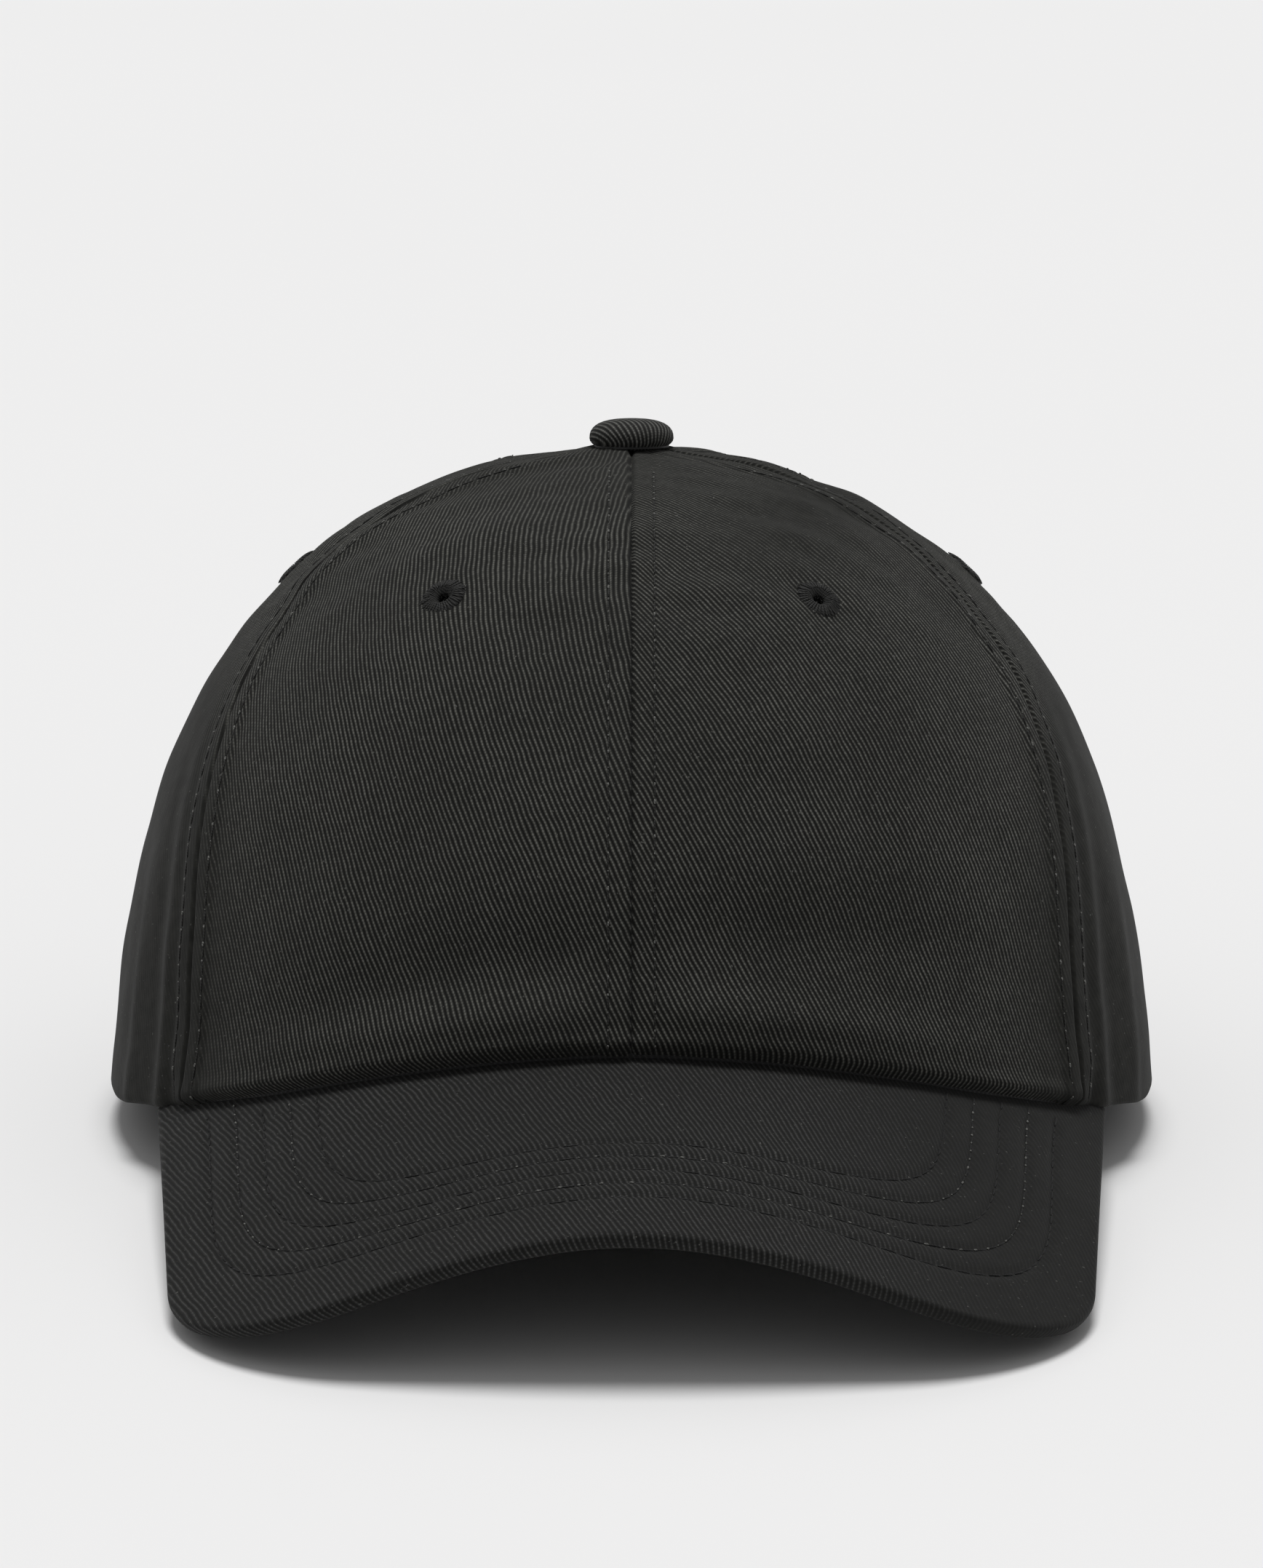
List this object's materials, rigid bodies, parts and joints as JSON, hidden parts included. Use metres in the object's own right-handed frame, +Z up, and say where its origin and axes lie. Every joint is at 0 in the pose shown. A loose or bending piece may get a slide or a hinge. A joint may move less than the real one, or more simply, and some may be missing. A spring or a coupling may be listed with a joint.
{
  "type": "baseball cap",
  "caption": "Soft six-panel cap with a curved brim, covered button, sweatband, rear half-moon opening and a strap with a flip-lever clasp.",
  "frame": {"origin": "on the surface the cap rests on, under the middle of its outer box", "axes": "+Z up; -Y forward, towards the brim; +X to the wearer's left; the cap rests on its brim corners and rear rim, so its crown axis leans back 6.9 degrees"},
  "size_m": [0.186, 0.2604, 0.1234],
  "materials": {
    "crown_twill": "washed cotton twill",
    "brim_twill": "washed cotton twill",
    "strap_twill": "washed cotton twill",
    "eyelet_thread": "embroidery thread",
    "seam_tape": "woven cotton tape",
    "binding": "bias-cut cotton tape",
    "sweatband": "brushed cotton twill",
    "interlining": "needled felt",
    "label": "satin, blank",
    "brim_board": "moulded polyethylene sheet",
    "button_steel": "pressed, plain",
    "clasp_metal": "black, worn satin"
  },
  "bodies": {
    "cap": {"panel_front_right": "crown_twill", "eyelet_front_right": "eyelet_thread", "panel_side_right": "crown_twill", "eyelet_side_right": "eyelet_thread", "panel_rear_right": "crown_twill", "eyelet_rear_right": "eyelet_thread", "seam_tape_front_right": "seam_tape", "seam_tape_rear_right": "seam_tape", "panel_front_left": "crown_twill", "eyelet_front_left": "eyelet_thread", "panel_side_left": "crown_twill", "eyelet_side_left": "eyelet_thread", "panel_rear_left": "crown_twill", "eyelet_rear_left": "eyelet_thread", "seam_tape_front_left": "seam_tape", "seam_tape_rear_left": "seam_tape", "seam_tape_front_centre": "seam_tape", "seam_tape_rear_centre": "seam_tape", "button_cover": "crown_twill", "button_shell": "button_steel", "button_back_plate": "button_steel", "button_tack": "button_steel", "button_washer": "button_steel", "brim_board": "brim_board", "brim_upper_cover": "brim_twill", "brim_under_cover": "brim_twill", "sweatband_interlining": "interlining", "sweatband_facing": "sweatband", "care_label": "label", "opening_binding": "binding", "clasp_tab": "strap_twill", "clasp_frame": "clasp_metal", "clasp_pin": "clasp_metal"},
    "adjusting_strap": {"strap": "strap_twill"},
    "lever": {"clasp_lever": "clasp_metal"}
  },
  "joints": [
    {"name": "clasp_lever_hinge", "type": "hinge", "parent": "cap", "child": "lever", "pos_m": [0.02377, 0.12577, 0.01243], "axis": [0.023, 0.0108, -0.9997], "range_deg": [0, 105]},
    {"name": "strap_slide", "type": "hinge", "parent": "cap", "child": "adjusting_strap", "pos_m": [0, 0.03896, 0.00952], "axis": [0, 0.1198, 0.9928], "range_deg": [-10, 10]}
  ]
}
